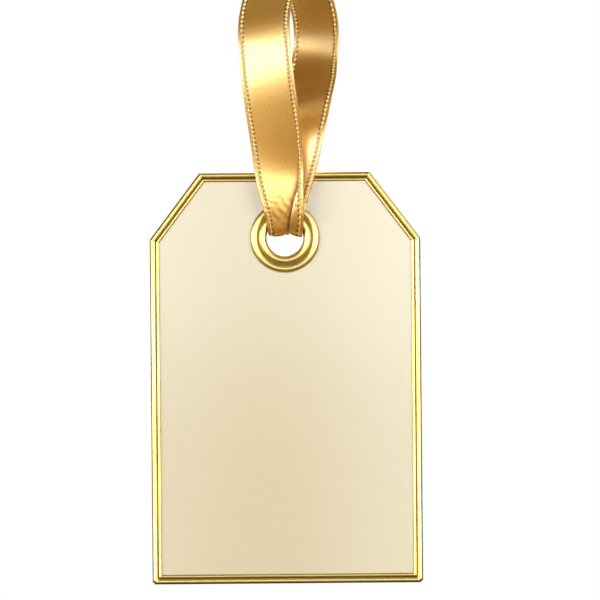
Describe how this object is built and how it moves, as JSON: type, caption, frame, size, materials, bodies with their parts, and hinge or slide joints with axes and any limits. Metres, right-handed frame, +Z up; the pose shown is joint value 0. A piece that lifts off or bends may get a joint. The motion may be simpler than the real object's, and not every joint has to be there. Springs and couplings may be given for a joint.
{
  "type": "gift tag",
  "caption": "Cut-corner gift tag: a champagne paper card in a beaded gold metal rim, with a rolled eyelet and a folded satin ribbon loop that hangs it and is tied behind.",
  "frame": {"origin": "inside of the ribbon loop's crown, where a hook bears, over the card's middle plane and centre line", "axes": "+Z up along the hanging card, -Y out of the card's face towards the viewer, +X to the viewer's right"},
  "size_m": [0.05, 0.0182, 0.1137],
  "materials": {
    "face_paper": "smooth pearl-coated champagne paper",
    "core_board": "plain grey board, hidden",
    "back_paper": "uncoated cream paper",
    "rim_brass": "polished gold-tone brass strip",
    "eyelet_brass": "polished gold-tone brass, turned and rolled",
    "satin_ribbon": "gold satin weave with stitched edges"
  },
  "bodies": {
    "hanging_ribbon": {"ribbon_loop": "satin_ribbon"},
    "ribbon_tie": {"ribbon_throat": "satin_ribbon", "ribbon_knot": "satin_ribbon", "ribbon_tail_left": "satin_ribbon", "ribbon_tail_right": "satin_ribbon"},
    "card": {"front_sheet": "face_paper", "core_board": "core_board", "back_sheet": "back_paper", "rim": "rim_brass", "eyelet": "eyelet_brass", "eyelet_washer": "eyelet_brass"}
  },
  "joints": [
    {"name": "card_swing", "type": "hinge", "parent": "hanging_ribbon", "child": "ribbon_tie", "pos_m": [0, -0.00053, -0.04785], "axis": [-1, 0, 0], "range_deg": [0, 90]},
    {"name": "card_turn", "type": "hinge", "parent": "ribbon_tie", "child": "card", "pos_m": [0, 0, -0.0495], "axis": [0, 1, 0], "range_deg": [-60, 60]}
  ]
}
